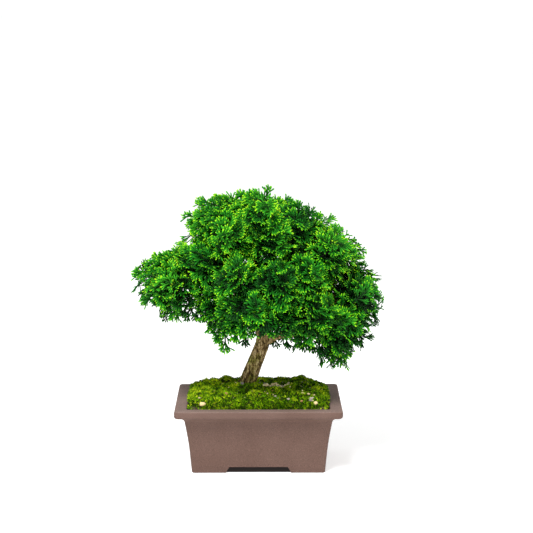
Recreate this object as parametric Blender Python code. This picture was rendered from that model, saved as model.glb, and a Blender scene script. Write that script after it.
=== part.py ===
# Hinoki cypress bonsai in a rectangular stoneware pot. Metres, +Z up, -Y is the front.
# The origin is on the ground under the middle of the pot.
import math
import random

import bmesh
import bpy
from mathutils import Matrix, Vector
from mathutils.bvhtree import BVHTree

MM = 0.001
GAP = 0.3 * MM  # air between pieces that touch

# The pot: half sizes at the rim, then sizes of its wall, floor and feet
RIM_HALF = Vector((101.5 * MM, 76 * MM))
POT_HEIGHT = 81 * MM
RIM_WIDTH = 15 * MM
LIP_HEIGHT = 9 * MM
NECK_INSET = 12.6 * MM
NECK_DROP = 9 * MM
COVE = ((1.6 * MM, 4.5 * MM), (5 * MM, 1.6 * MM))  # (out from the neck, under the lip)
WAIST = 0.44
FOOT_INSET = 20.4 * MM
FOOT_CHAMFER = 1 * MM
LIP_ROUND = 3.5 * MM
TOP_ROUND = 2 * MM
INNER_ROUND = 1.2 * MM
WALL = 7.5 * MM
UPRIGHT_WALL = 8 * MM
INNER_NECK_DROP = 10 * MM
FOOT_HEIGHT = 7.5 * MM
FLOOR = FOOT_HEIGHT + 7 * MM
FLOOR_FILLET = (3.5 * MM, 4 * MM)
FOOT_WIDTH = 16 * MM
RECESS = FOOT_HEIGHT + 1 * MM
NOTCH_HALF = Vector((35.6 * MM, 22 * MM))
NOTCH_SLANT = 4.3 * MM
DRAIN_RADIUS = 7.5 * MM
DRAIN_X = 40 * MM
DRAIN_SIDES = 14
CORNER_RADIUS = 6 * MM
CORNER_LEAST = 3 * MM
CORNER_TAPER = 0.15
CORNER_STEPS = 3
CUT_PAST = 1 * MM  # how far a cutter stands out of what it cuts

# The plastic screens over the drain holes
SCREEN_HALF = 13 * MM
SCREEN_CELLS = 5
SCREEN_THICK = 1.2 * MM

# Soil and moss
SOIL_EDGE_DROP = 6 * MM
SOIL_RISE = 13 * MM
SOIL_SHARES = (1, 0.96, 0.8, 0.4)
SOIL_STEPS = 2
DOME_POWER = 6
MOUND_CORNER = 9 * MM
MOUND_CORNER_SHARE = 0.9
MOSS_DEPTH = 7 * MM
MOSS_EDGE_STEP = 3 * MM
MOSS_LUMP = 1.6 * MM
MOSS_WAVES = (150, 170, 310, 270)
MOSS_RINGS = 7
MOSS_STEPS = 7
STONES = 12
STONE_SEED = 5
STONE_SIZES = (1.9 * MM, 3.2 * MM)
STONE_SHAPE = (1, 0.8, 0.6)
STONE_LIFT = 0.25
STONES_X = (-70 * MM, 78 * MM)
STONES_Y = (-48 * MM, 34 * MM)
CLEAR_OF_TRUNK = 24 * MM

# The trunk line from its foot in the soil to the crown's top, with its radius
TRUNK_LINE = (
    ((-24, 4, 74), 14.0),
    ((-19, 5, 88), 11.6),
    ((-13, 5, 101), 9.3),
    ((-5, 5, 122), 8.7),
    ((4, 5, 145), 8.2),
    ((5, 5, 160), 7.2),
    ((-3, 5, 190), 6.0),
    ((-6, 4, 222), 5.0),
    ((-1, 4, 256), 3.8),
    ((0, 4, 276), 2.6),
)
TRUNK_SIDES = 10
ROOTS = 6
ROOT_SEED = 11
ROOT_REACH = 44 * MM
ROOT_DROP = 30 * MM
ROOT_START = (3 * MM, 4 * MM)  # out from the trunk's foot, and up
ROOT_SAG = 1 * MM
ROOT_RADII = (6 * MM, 4.2 * MM, 2.8 * MM, 1.4 * MM)
LIMB_SIDES = 5

# Branches: points in millimetres, first inside the trunk, with radius at both ends
BRANCHES = (
    ((3, 5, 146), (24, 2, 158), (50, -4, 161), (84, -6, 168), (108, -4, 182), 4.8, 2.0),
    ((-2, 5, 188), (-28, 0, 198), (-62, -4, 214), (-104, -2, 224), 4.4, 1.8),
    ((-5, 4, 212), (24, 8, 222), (58, 8, 226), (88, 0, 206), 4.0, 1.8),
    ((2, 4, 170), (-6, -22, 182), (-14, -44, 198), 3.4, 1.8),
    ((4, 5, 158), (20, -16, 176), (38, -36, 196), 3.2, 1.8),
    ((-6, 4, 226), (10, -28, 232), (30, -62, 238), 3.4, 1.8),
    ((-3, 6, 196), (-26, 34, 204), (-44, 66, 220), 3.6, 1.8),
    ((-5, 5, 230), (14, 26, 226), (42, 38, 218), 3.4, 1.8),
    ((-2, 4, 250), (-24, -8, 266), (-48, -6, 286), 3.0, 1.6),
    ((-1, 4, 262), (26, 4, 272), (58, 6, 278), 3.0, 1.6),
    ((-4, 5, 238), (-8, 38, 256), (-8, 62, 272), 3.0, 1.6),
)
TWIG_RADII = (1.7 * MM, 1.4 * MM, 1.1 * MM)
TWIG_BEND = 0.4
TWIG_SIDES = 3

# The crown's masses of foliage: centre and half sizes in millimetres
PADS = (
    ((-10, 0, 287), (72, 64, 42)),
    ((69, 0, 267), (46, 52, 36)),
    ((104, -3, 213), (41, 54, 46)),
    ((-96, -2, 228), (42, 52, 32)),
    ((-58, -4, 256), (38, 46, 30)),
    ((4, -2, 234), (84, 86, 46)),
    ((-18, -52, 206), (44, 42, 30)),
    ((44, -46, 204), (46, 42, 30)),
    ((90, -12, 180), (42, 42, 24)),
    ((96, -8, 157), (20, 24, 14)),
    ((-38, 46, 230), (50, 47, 34)),
    ((44, 48, 230), (52, 46, 36)),
)
SPRAY_SPACING = 43 * MM
UNDERSIDE = -0.6
CLEAR_OF_PADS = 1.15
SURFACE_STEPS = 170
UPWARD = 0.2

# One spray: its stem and its fans
STEM_DEPTH = 48 * MM
STEM_TOP = 26 * MM
STEM_TOP_SHARE = 0.7
STEM_STEPS = 11
STEM_LEAST_STEPS = 2
STEM_CLEAR = 3.5 * MM
STEM_INSIDE = 3 * MM
STEM_RADII = (1.5 * MM, 1.0 * MM)
SPRAY_SEED = 100
RING_FANS = 4
FAN_TURN_JITTER = 0.3
FAN_FIRST_SHARE = 0.45
RING_LEAN = (math.radians(48), math.radians(66))
END_LEAN = (math.radians(2), math.radians(14))
FAN_ROLL = math.radians(22)
FAN_LENGTH = 42 * MM
FAN_LENGTH_SHARES = (0.9, 1.12)
FAN_SPREAD = math.radians(37)
FAN_NARROWING = 0.2
FAN_FINGERS = 5
FAN_VALLEY = 0.62
FAN_CUP = 0.14
FAN_THICK = 0.9 * MM
FAN_ROOT_HALF = 1.1 * MM
CELL_GAP = 0.8 * MM

UP = Vector((0, 0, 1))
LIMB_SIDE = Vector((0.3, 1, 0.1))  # no limb runs along it
SPRAY_SIDE = Vector((0.2, 1, 0.3))  # no spray points along it
GOLDEN = math.pi * (3 - math.sqrt(5))


def clear_scene():
    for obj in list(bpy.data.objects):
        bpy.data.objects.remove(obj)


def material(name, colour, roughness, metallic=0.0):
    made = bpy.data.materials.new(name)
    made.use_nodes = True
    shader = made.node_tree.nodes["Principled BSDF"]
    shader.inputs["Base Color"].default_value = (*colour, 1)
    shader.inputs["Roughness"].default_value = roughness
    shader.inputs["Metallic"].default_value = metallic
    return made


def mesh_object(name, bm, finish=None):
    """A new object from the bmesh, which is freed."""
    bmesh.ops.recalc_face_normals(bm, faces=bm.faces)
    mesh = bpy.data.meshes.new(name)
    bm.to_mesh(mesh)
    bm.free()
    obj = bpy.data.objects.new(name, mesh)
    bpy.context.scene.collection.objects.link(obj)
    if finish:
        mesh.materials.append(finish)
    return obj


def boolean(target, others, operation, solver="EXACT"):
    """Joins or cuts the target with all the others in one Boolean, applies it and removes them."""
    helpers = bpy.data.collections.new("helpers")
    bpy.context.scene.collection.children.link(helpers)
    for other in others:
        bpy.context.scene.collection.objects.unlink(other)
        helpers.objects.link(other)
    modifier = target.modifiers.new("boolean", "BOOLEAN")
    modifier.operation = operation
    modifier.operand_type = "COLLECTION"
    modifier.collection = helpers
    modifier.solver = solver
    graph = bpy.context.evaluated_depsgraph_get()
    finish = target.data.materials[0] if target.data.materials else None
    mesh = bpy.data.meshes.new_from_object(target.evaluated_get(graph))
    target.modifiers.clear()
    target.data = mesh
    mesh.materials.clear()
    if finish:
        mesh.materials.append(finish)
    for other in others:
        bpy.data.objects.remove(other)
    bpy.data.collections.remove(helpers)
    return target


def without_scraps(obj):
    """Drops the loose crumbs that a cut left, and keeps the largest piece."""
    bm = bmesh.new()
    bm.from_mesh(obj.data)
    left = set(bm.verts)
    pieces = []
    while left:
        edge_of_search = [left.pop()]
        piece = list(edge_of_search)
        while edge_of_search:
            vert = edge_of_search.pop()
            for edge in vert.link_edges:
                other = edge.other_vert(vert)
                if other in left:
                    left.remove(other)
                    piece.append(other)
                    edge_of_search.append(other)
        pieces.append(piece)
    pieces.sort(key=len)
    bmesh.ops.delete(bm, geom=[vert for piece in pieces[:-1] for vert in piece], context="VERTS")
    bm.to_mesh(obj.data)
    bm.free()
    return obj


def millimetres(point):
    return Vector(point) * MM


def smooth_path(points, steps):
    """Catmull-Rom points through the given ones, with so many steps between each pair."""
    ends = [points[0] * 2 - points[1], *points, points[-1] * 2 - points[-2]]
    path = []
    for a, b, c, d in zip(ends, ends[1:], ends[2:], ends[3:]):
        for step in range(steps):
            t = step / steps
            path.append(
                0.5 * (b * 2 + (c - a) * t + (a * 2 - b * 5 + c * 4 - d) * t * t
                       + (b * 3 - a - c * 3 + d) * t * t * t)
            )
    return path + [points[-1].copy()]


def loop_edges(verts):
    ring = set(verts)
    return [e for v in verts for e in v.link_edges if e.other_vert(v) in ring and e.verts[0] == v]


def loft(bm, rings):
    """Bridges one closed ring of vertices to the next, and caps both ends."""
    for first, second in zip(rings, rings[1:]):
        bmesh.ops.bridge_loops(bm, edges=loop_edges(first) + loop_edges(second))
    for ring in (rings[0], rings[-1]):
        bmesh.ops.contextual_create(bm, geom=loop_edges(ring))


def tube(points, radii, sides):
    """A closed tapering tube along the points."""
    bm = bmesh.new()
    rings = []
    side = LIMB_SIDE
    for index, point in enumerate(points):
        ahead = points[min(index + 1, len(points) - 1)]
        behind = points[max(index - 1, 0)]
        along = (ahead - behind).normalized()
        side = (side - along * side.dot(along)).normalized()
        turn = Matrix((side, along.cross(side), along)).transposed().to_4x4()
        rings.append(
            bmesh.ops.create_circle(
                bm, segments=sides, radius=radii[index], matrix=Matrix.Translation(point) @ turn
            )["verts"]
        )
    loft(bm, rings)
    return bm


def between(low, high, share):
    return low + (high - low) * share


def rounded_ring(bm, half, height, corner, steps):
    """A closed ring of vertices on a rectangle with round corners; height is a number or a function."""
    verts = []
    for quarter in range(4):
        sign = ((1, 1), (-1, 1), (-1, -1), (1, -1))[quarter]
        for step in range(steps + 1):
            angle = math.radians(90) * (quarter + step / steps)
            x = sign[0] * (half[0] - corner) + corner * math.cos(angle)
            y = sign[1] * (half[1] - corner) + corner * math.sin(angle)
            z = height(x, y) if callable(height) else height
            verts.append(bm.verts.new((x, y, z)))
    for first, second in zip(verts, verts[1:] + verts[:1]):
        bm.edges.new((first, second))
    return verts


# The pot

def arc(centre, radius, start, end, steps):
    """Points (inset, height) on an arc, angles in degrees."""
    angles = [math.radians(between(start, end, k / steps)) for k in range(steps + 1)]
    return [(centre[0] + radius * math.cos(a), centre[1] + radius * math.sin(a)) for a in angles]


def pot_profile():
    """(inset from the rim's edge, height) from the ground up the outside, over the rim and down."""
    lip_foot = POT_HEIGHT - LIP_HEIGHT
    outside = [
        (FOOT_INSET + FOOT_CHAMFER, 0),
        (FOOT_INSET, FOOT_CHAMFER),
        (between(FOOT_INSET, NECK_INSET, WAIST), lip_foot / 2),
        (NECK_INSET, lip_foot - NECK_DROP),
        *[(NECK_INSET - out, lip_foot - under) for out, under in COVE],
    ]
    lip = arc((LIP_ROUND, lip_foot + LIP_ROUND - GAP), LIP_ROUND, 260, 180, 2)
    top = arc((TOP_ROUND, POT_HEIGHT - TOP_ROUND), TOP_ROUND, 180, 90, 2)
    inner_edge = arc((RIM_WIDTH - INNER_ROUND, POT_HEIGHT - INNER_ROUND), INNER_ROUND, 90, 0, 1)
    inside = [
        (RIM_WIDTH, POT_HEIGHT - UPRIGHT_WALL),
        (NECK_INSET + WALL, lip_foot - INNER_NECK_DROP),
        (FOOT_INSET + WALL, FLOOR + FLOOR_FILLET[1]),
        (FOOT_INSET + WALL + FLOOR_FILLET[0], FLOOR),
    ]
    return outside + lip + top + inner_edge + inside


def corner_radius(inset):
    return max(CORNER_LEAST, CORNER_RADIUS - CORNER_TAPER * inset)


def block(low, high):
    bm = bmesh.new()
    size = Vector(high) - Vector(low)
    middle = (Vector(high) + Vector(low)) / 2
    bmesh.ops.create_cube(bm, size=1, matrix=Matrix.Translation(middle) @ Matrix.Diagonal((*size, 1)))
    return mesh_object("cutter", bm)


def notch_cutter(half, reach, axis):
    """A trapezoid bar through the pot's foot along one axis, wider at the ground."""
    slope = NOTCH_SLANT / FOOT_HEIGHT
    bm = bmesh.new()
    section = (
        (-half - NOTCH_SLANT - CUT_PAST * slope, -CUT_PAST),
        (half + NOTCH_SLANT + CUT_PAST * slope, -CUT_PAST),
        (half, FOOT_HEIGHT),
        (-half, FOOT_HEIGHT),
    )
    verts = [bm.verts.new((x, -reach, z)) for x, z in section]
    face = bm.faces.new(verts)
    grown = bmesh.ops.extrude_face_region(bm, geom=[face])["geom"]
    moved = [g for g in grown if isinstance(g, bmesh.types.BMVert)]
    bmesh.ops.translate(bm, verts=moved, vec=(0, 2 * reach, 0))
    if axis == "X":
        bmesh.ops.rotate(bm, verts=bm.verts, matrix=Matrix.Rotation(math.radians(90), 3, "Z"))
    return mesh_object("cutter", bm)


def drain_cutter(x):
    bm = bmesh.new()
    bmesh.ops.create_cone(
        bm, cap_ends=True, segments=DRAIN_SIDES, radius1=DRAIN_RADIUS, radius2=DRAIN_RADIUS,
        depth=FLOOR, matrix=Matrix.Translation((x, 0, FLOOR)),
    )
    return mesh_object("cutter", bm)


def make_pot(finish):
    bm = bmesh.new()
    rings = []
    for inset, height in pot_profile():
        half = RIM_HALF - Vector((inset, inset))
        rings.append(rounded_ring(bm, half, height, corner_radius(inset), CORNER_STEPS))
    loft(bm, rings)
    pot = mesh_object("pot", bm, finish)
    inner = RIM_HALF - Vector((1, 1)) * (FOOT_INSET + FOOT_WIDTH)
    cutters = [
        block((-inner.x, -inner.y, -CUT_PAST), (inner.x, inner.y, RECESS)),
        notch_cutter(NOTCH_HALF.x, RIM_HALF.y, "Y"),
        notch_cutter(NOTCH_HALF.y, RIM_HALF.x, "X"),
        drain_cutter(-DRAIN_X),
        drain_cutter(DRAIN_X),
    ]
    return boolean(pot, cutters, "DIFFERENCE")


def make_screen(name, x, finish):
    """A square plastic net that lies on the floor over one drain hole."""
    bm = bmesh.new()
    place = Matrix.Translation((x, 0, FLOOR + GAP))
    bmesh.ops.create_grid(
        bm, x_segments=SCREEN_CELLS, y_segments=SCREEN_CELLS, size=SCREEN_HALF, matrix=place
    )
    cell = 2 * SCREEN_HALF / SCREEN_CELLS
    holes = []
    for face in bm.faces:
        middle = face.calc_center_median() - place.translation
        column = int((middle.x + SCREEN_HALF) / cell)
        row = int((middle.y + SCREEN_HALF) / cell)
        if column % 2 and row % 2:
            holes.append(face)
    bmesh.ops.delete(bm, geom=holes, context="FACES")
    grown = bmesh.ops.extrude_face_region(bm, geom=bm.faces[:], use_keep_orig=True)["geom"]
    moved = [g for g in grown if isinstance(g, bmesh.types.BMVert)]
    bmesh.ops.translate(bm, verts=moved, vec=(0, 0, SCREEN_THICK))
    return mesh_object(name, bm, finish)


# Soil and moss

def soil_half():
    return RIM_HALF - Vector((1, 1)) * (RIM_WIDTH + GAP * 2)


def dome(share):
    """1 over most of the pot, falling to 0 at the edge, where the share is 1."""
    return math.sqrt(1 - share ** DOME_POWER)


def soil_height(share):
    return POT_HEIGHT - SOIL_EDGE_DROP + SOIL_RISE * dome(share)


def moss_height(x, y):
    """The soil's mound raised by the moss, with low lumps."""
    half = soil_half()
    share = min(1, max(abs(x) / half.x, abs(y) / half.y))
    wave_x, wave_y, ripple_x, ripple_y = MOSS_WAVES
    lumps = math.sin(x * wave_x + 1) * math.cos(y * wave_y)
    lumps += 0.6 * math.sin(x * ripple_x + y * ripple_y)
    depth = between(MOSS_EDGE_STEP, MOSS_DEPTH, dome(share))
    return soil_height(share) + depth + MOSS_LUMP * lumps * dome(share)


def mound_ring(bm, share, height, steps):
    half = soil_half() * share
    return rounded_ring(bm, half, height, min(half.y * MOUND_CORNER_SHARE, MOUND_CORNER), steps)


def soil_top(bm, raised):
    """Rings of the soil's mound from its edge inwards, each of them level."""
    return [
        mound_ring(bm, share, soil_height(share) + raised, SOIL_STEPS) for share in SOIL_SHARES
    ]


def make_soil(finish, wood_holes):
    bm = bmesh.new()
    rings = []
    edge = FOOT_INSET + WALL
    levels = (
        (edge + FLOOR_FILLET[0] + GAP, FLOOR + GAP),
        (edge + GAP * 2, FLOOR + FLOOR_FILLET[1] + GAP),
        (NECK_INSET + WALL + GAP * 2, POT_HEIGHT - LIP_HEIGHT - INNER_NECK_DROP),
    )
    for inset, height in levels:
        half = RIM_HALF - Vector((inset, inset))
        rings.append(rounded_ring(bm, half, height, corner_radius(inset) + GAP, SOIL_STEPS))
    loft(bm, rings + soil_top(bm, 0))
    soil = mesh_object("soil", bm, finish)
    room = SCREEN_HALF + GAP * 2
    beds = [
        block((x - room, -room, FLOOR - CUT_PAST), (x + room, room, FLOOR + SCREEN_THICK + GAP * 2))
        for x in (-DRAIN_X, DRAIN_X)
    ]
    return without_scraps(boolean(soil, beds + wood_holes, "DIFFERENCE"))


def stone(place, size, turn):
    bm = bmesh.new()
    bmesh.ops.create_icosphere(bm, subdivisions=1, radius=size)
    bmesh.ops.scale(bm, vec=STONE_SHAPE, verts=bm.verts)
    bmesh.ops.rotate(bm, verts=bm.verts, matrix=Matrix.Rotation(turn, 3, "Z"))
    bmesh.ops.translate(bm, verts=bm.verts, vec=place)
    return mesh_object("stone", bm)


def grit(moss):
    """Stones that lie sunk in the moss, none of them beside the trunk."""
    draw = random.Random(STONE_SEED)
    ground = BVHTree.FromObject(moss, bpy.context.evaluated_depsgraph_get())
    stones = []
    for index in range(STONES):
        x = between(*STONES_X, (index + draw.random()) / STONES)
        y = between(*STONES_Y, draw.random())
        size = between(*STONE_SIZES, draw.random())
        turn = draw.random() * math.tau
        hit = ground.ray_cast(Vector((x, y, POT_HEIGHT * 2)), -UP)[0]
        if (hit - millimetres(TRUNK_LINE[1][0])).xy.length > CLEAR_OF_TRUNK:
            stones.append(stone(hit + UP * size * STONE_LIFT, size, turn))
    return stones


def make_moss(finish, wood_holes):
    bm = bmesh.new()
    under = soil_top(bm, GAP)
    shares = [math.sin(math.radians(90) * (1 - k / MOSS_RINGS)) for k in range(MOSS_RINGS)]
    over = [mound_ring(bm, share, moss_height, MOSS_STEPS) for share in shares]
    loft(bm, under[::-1] + over)
    bmesh.ops.triangulate(bm, faces=bm.faces)
    moss = mesh_object("moss", bm, finish)
    boolean(moss, grit(moss), "UNION")
    return without_scraps(boolean(moss, wood_holes, "DIFFERENCE"))


# Trunk, branches and roots

def trunk_limb():
    points = smooth_path([millimetres(p) for p, r in TRUNK_LINE], 2)
    given = [r * MM for p, r in TRUNK_LINE]
    radii = []
    for index in range(len(points)):
        low = min(index // 2, len(given) - 1)
        high = min(low + 1, len(given) - 1)
        radii.append(between(given[low], given[high], (index % 2) / 2))
    return points, radii, TRUNK_SIDES


def branch_limbs():
    limbs = []
    for *route, thick, thin in BRANCHES:
        points = smooth_path([millimetres(p) for p in route], 2)
        count = len(points) - 1
        radii = [between(thick, thin, k / count) * MM for k in range(count + 1)]
        limbs.append((points, radii, LIMB_SIDES))
    return limbs


def root_limbs():
    """Roots that leave the trunk's foot and dive into the soil."""
    draw = random.Random(ROOT_SEED)
    foot = millimetres(TRUNK_LINE[0][0])
    limbs = []
    for index in range(ROOTS):
        angle = math.tau * (index + 0.5 * draw.random()) / ROOTS
        out = Vector((math.cos(angle), 0.8 * math.sin(angle), 0))
        reach = ROOT_REACH * between(0.8, 1.1, draw.random())
        points = [
            foot + out * ROOT_START[0] + UP * ROOT_START[1],
            foot + out * reach * 0.45 - UP * ROOT_SAG,
            foot + out * reach * 0.8 - UP * ROOT_DROP * 0.5,
            foot + out * reach - UP * ROOT_DROP,
        ]
        limbs.append((points, ROOT_RADII, LIMB_SIDES))
    return limbs


def swollen(limb, extra):
    """The limb made thicker and longer by the extra all round."""
    points, radii, sides = limb
    first = points[0] + (points[0] - points[1]).normalized() * extra
    last = points[-1] + (points[-1] - points[-2]).normalized() * extra
    return [first, *points[1:-1], last], [radius + extra for radius in radii], sides


def wood_hole_cutters():
    """The trunk and roots a little swollen, to leave the holes they stand in."""
    limbs = [swollen(limb, GAP * 2) for limb in (trunk_limb(), *root_limbs())]
    return [mesh_object("hole", tube(*limb)) for limb in limbs]


# The crown: where each spray of foliage sits

def pad_depth(point, pad):
    """Under 1 inside the pad, 1 on its surface."""
    centre, half = pad
    return math.sqrt(sum(((point[k] / MM - centre[k]) / half[k]) ** 2 for k in range(3)))


def crown_surface():
    """Evenly spread points on the outside of the pads taken together, with their outward directions."""
    found = []
    for pad in PADS:
        centre, half = pad
        for step in range(SURFACE_STEPS):
            z = 1 - 2 * (step + 0.5) / SURFACE_STEPS
            round_z = math.sqrt(1 - z * z)
            unit = (round_z * math.cos(step * GOLDEN), round_z * math.sin(step * GOLDEN), z)
            point = Vector([(centre[k] + half[k] * unit[k]) * MM for k in range(3)])
            normal = Vector([unit[k] / half[k] for k in range(3)]).normalized()
            others = [pad_depth(point, other) for other in PADS if other is not pad]
            if min(others) > CLEAR_OF_PADS and normal.z > UNDERSIDE:
                found.append((point, normal))
    return found


def spray_sites():
    """Takes the surface point furthest from those already taken, until they are close enough."""
    surface = crown_surface()
    sites = [max(surface, key=lambda site: site[0].z)]
    apart = [(point - sites[0][0]).length for point, normal in surface]
    while max(apart) > SPRAY_SPACING:
        chosen = surface[apart.index(max(apart))]
        sites.append(chosen)
        apart = [min(d, (point - chosen[0]).length) for d, (point, normal) in zip(apart, surface)]
    return [(point, (normal + UP * UPWARD).normalized()) for point, normal in sites]


def cell_walls(index, sites):
    """The planes half way to every other spray: a point on their foot and their outward direction."""
    here = sites[index][0]
    walls = []
    for other, site in enumerate(sites):
        if other != index:
            away = site[0] - here
            outward = away.normalized()
            walls.append((here + away / 2 - outward * CELL_GAP, outward))
    return walls


def drawn_back(point, root, walls):
    """The point, drawn back towards the root until it is inside every wall."""
    reach = 1.0
    for foot, outward in walls:
        room = (foot - root).dot(outward)
        stride = (point - root).dot(outward)
        if stride > room:
            reach = min(reach, room / stride)
    return root + (point - root) * max(reach, 0)


def near_wood(point, limbs):
    """True within reach of the trunk or a branch."""
    for points, radii, sides in limbs:
        for start, end, radius in zip(points, points[1:], radii):
            run = end - start
            share = min(1, max(0, (point - start).dot(run) / run.length_squared))
            if (point - start - run * share).length < radius + STEM_CLEAR:
                return True
    return False


def stem_line(site, walls, limbs):
    """A spray's stem from its foot to its top, the longest that stays clear of the wood."""
    point, outward = site
    inset_walls = [(foot - away * STEM_INSIDE, away) for foot, away in walls]
    deepest = drawn_back(point - outward * STEM_DEPTH, point, inset_walls)
    top = point - outward * min(STEM_TOP, STEM_TOP_SHARE * (deepest - point).length)
    base = top
    for step in range(1, STEM_STEPS + 1):
        deeper = top.lerp(deepest, step / STEM_STEPS)
        if step > STEM_LEAST_STEPS and near_wood(deeper, limbs):
            break
        base = deeper
    return base, top


def spray_fans(index, base, top):
    """(root, along, across, length) of each fan of one spray: a ring of them and one on the end."""
    draw = random.Random(SPRAY_SEED + index)
    outward = (top - base).normalized()
    side = outward.cross(SPRAY_SIDE).normalized()
    start = draw.random() * math.tau
    fans = []
    for fan in range(RING_FANS + 1):
        share = between(FAN_FIRST_SHARE, 1, fan / RING_FANS)
        root = base + (top - base) * share
        angle = start + math.tau * (fan + FAN_TURN_JITTER * (draw.random() - 0.5)) / RING_FANS
        away = side * math.cos(angle) + outward.cross(side) * math.sin(angle)
        lean = between(*(END_LEAN if fan == RING_FANS else RING_LEAN), draw.random())
        along = outward * math.cos(lean) + away * math.sin(lean)
        roll = Matrix.Rotation(between(-FAN_ROLL, FAN_ROLL, draw.random()), 3, along)
        across = roll @ along.cross(outward * math.sin(lean) - away * math.cos(lean)).normalized()
        length = FAN_LENGTH * between(*FAN_LENGTH_SHARES, draw.random())
        fans.append((root, along, across, length))
    return fans


def fan_outline(length):
    """Points (aside, ahead) round one fan: its root, then each finger's tip and the valley after it."""
    outline = [(-FAN_ROOT_HALF, 0.0), (FAN_ROOT_HALF, 0.0)]
    for finger in range(FAN_FINGERS):
        angle = between(FAN_SPREAD, -FAN_SPREAD, finger / (FAN_FINGERS - 1))
        reach = length * (1 - FAN_NARROWING * (angle / FAN_SPREAD) ** 2)
        outline.append((reach * math.sin(angle), reach * math.cos(angle)))
        if finger < FAN_FINGERS - 1:
            valley = angle - FAN_SPREAD / (FAN_FINGERS - 1)
            dip = reach * FAN_VALLEY
            outline.append((dip * math.sin(valley), dip * math.cos(valley)))
    return outline


def fan_triangles():
    """The outline split the same way on both faces: each finger, then the palm."""
    tips = [2 + 2 * k for k in range(FAN_FINGERS)]
    valleys = [3 + 2 * k for k in range(FAN_FINGERS - 1)]
    triangles = [(1, tips[0], valleys[0]), (valleys[-1], tips[-1], 0)]
    triangles += [(v, t, w) for v, t, w in zip(valleys, tips[1:], valleys[1:])]
    middle = len(valleys) // 2
    for k, (v, w) in enumerate(zip(valleys, valleys[1:])):
        triangles.append((1 if k < middle else 0, v, w))
    triangles.append((1, valleys[middle], 0))
    return triangles


def fan_mesh(fan, walls):
    """One arched blade with fingers cut into its rim, held inside its cell."""
    root, along, across, length = fan
    face = across.cross(along)
    bm = bmesh.new()
    verts = []
    for aside, ahead in fan_outline(length):
        lift = FAN_CUP * (aside * aside + ahead * ahead) / length
        place = root + across * aside + along * ahead + face * lift
        verts.append(bm.verts.new(drawn_back(place, root, walls)))
    for triangle in fan_triangles():
        bm.faces.new([verts[k] for k in triangle])
    grown = bmesh.ops.extrude_face_region(bm, geom=bm.faces[:], use_keep_orig=True)["geom"]
    moved = [g for g in grown if isinstance(g, bmesh.types.BMVert)]
    bmesh.ops.translate(bm, verts=moved, vec=-face * FAN_THICK)
    return bm


def twig_limb(base, outward, limbs):
    """A twig from the nearest limb to a spray's foot, which it meets square."""
    starts = [
        first.lerp(second, share)
        for points, radii, sides in limbs
        for first, second in zip(points, points[1:])
        for share in (0, 0.5)
    ]
    start = min(starts, key=lambda point: (point - base).length)
    bend = base - outward * TWIG_BEND * (base - start).length
    return [start, bend, base - outward * GAP], TWIG_RADII, TWIG_SIDES


def make_wood(finish, limbs, stems):
    """The trunk with its branches, its roots and a twig to each spray, as one solid."""
    trunk, *branches = limbs
    twigs = [twig_limb(base, (top - base).normalized(), limbs) for base, top in stems]
    wood = mesh_object("trunk_and_branches", tube(*trunk), finish)
    others = [*branches, *root_limbs(), *twigs]
    return boolean(wood, [mesh_object("limb", tube(*limb)) for limb in others], "UNION", "MANIFOLD")


def make_spray(index, stem_ends, walls, finish, wood_tree):
    base, top = stem_ends
    outward = (top - base).normalized()
    stem = mesh_object(f"spray_{index + 1:02d}", tube([base + outward * GAP, top], STEM_RADII, TWIG_SIDES), finish)
    blades = []
    for fan in spray_fans(index, base, top):
        bm = fan_mesh(fan, walls)
        if wood_tree.overlap(BVHTree.FromBMesh(bm)):
            bm.free()
        else:
            blades.append(mesh_object("fan", bm))
    return boolean(stem, blades, "UNION")


def main():
    clear_scene()
    clay = material("clay", (0.21, 0.13, 0.10), 0.75)
    plastic = material("screen_plastic", (0.02, 0.02, 0.02), 0.5)
    earth = material("earth", (0.06, 0.04, 0.025), 0.95)
    mossy = material("moss", (0.08, 0.17, 0.01), 0.9)
    bark = material("bark", (0.15, 0.11, 0.05), 0.85)
    leaf = material("leaf", (0.03, 0.16, 0.01), 0.45)
    sites = spray_sites()
    make_pot(clay)
    make_screen("drain_screen_left", -DRAIN_X, plastic)
    make_screen("drain_screen_right", DRAIN_X, plastic)
    make_soil(earth, wood_hole_cutters())
    make_moss(mossy, wood_hole_cutters())
    limbs = [trunk_limb(), *branch_limbs()]
    walls = [cell_walls(index, sites) for index in range(len(sites))]
    stems = [stem_line(site, around, limbs) for site, around in zip(sites, walls)]
    wood = make_wood(bark, limbs, stems)
    wood_tree = BVHTree.FromObject(wood, bpy.context.evaluated_depsgraph_get())
    for index, stem_ends in enumerate(stems):
        make_spray(index, stem_ends, walls[index], leaf, wood_tree)


main()
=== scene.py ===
# Looks of the hinoki cypress bonsai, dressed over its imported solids.
import random
from math import acos, copysign, cos, exp, pi, radians, sin, sqrt, tau

import bmesh
import bpy
from mathutils import Matrix, Vector, noise
from mathutils.bvhtree import BVHTree


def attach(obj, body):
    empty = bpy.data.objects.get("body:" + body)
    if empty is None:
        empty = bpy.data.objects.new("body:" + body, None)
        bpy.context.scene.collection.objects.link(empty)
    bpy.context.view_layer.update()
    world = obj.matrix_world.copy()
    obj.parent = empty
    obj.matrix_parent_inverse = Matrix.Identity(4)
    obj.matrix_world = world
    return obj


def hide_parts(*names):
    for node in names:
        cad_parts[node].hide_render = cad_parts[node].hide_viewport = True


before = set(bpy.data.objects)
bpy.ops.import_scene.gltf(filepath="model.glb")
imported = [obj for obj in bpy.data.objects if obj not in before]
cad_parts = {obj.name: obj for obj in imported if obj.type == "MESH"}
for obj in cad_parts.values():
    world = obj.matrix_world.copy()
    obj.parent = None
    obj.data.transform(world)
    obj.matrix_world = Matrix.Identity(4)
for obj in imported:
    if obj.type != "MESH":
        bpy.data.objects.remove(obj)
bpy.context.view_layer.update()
mm = 0.001
up = Vector((0, 0, 1))
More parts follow.
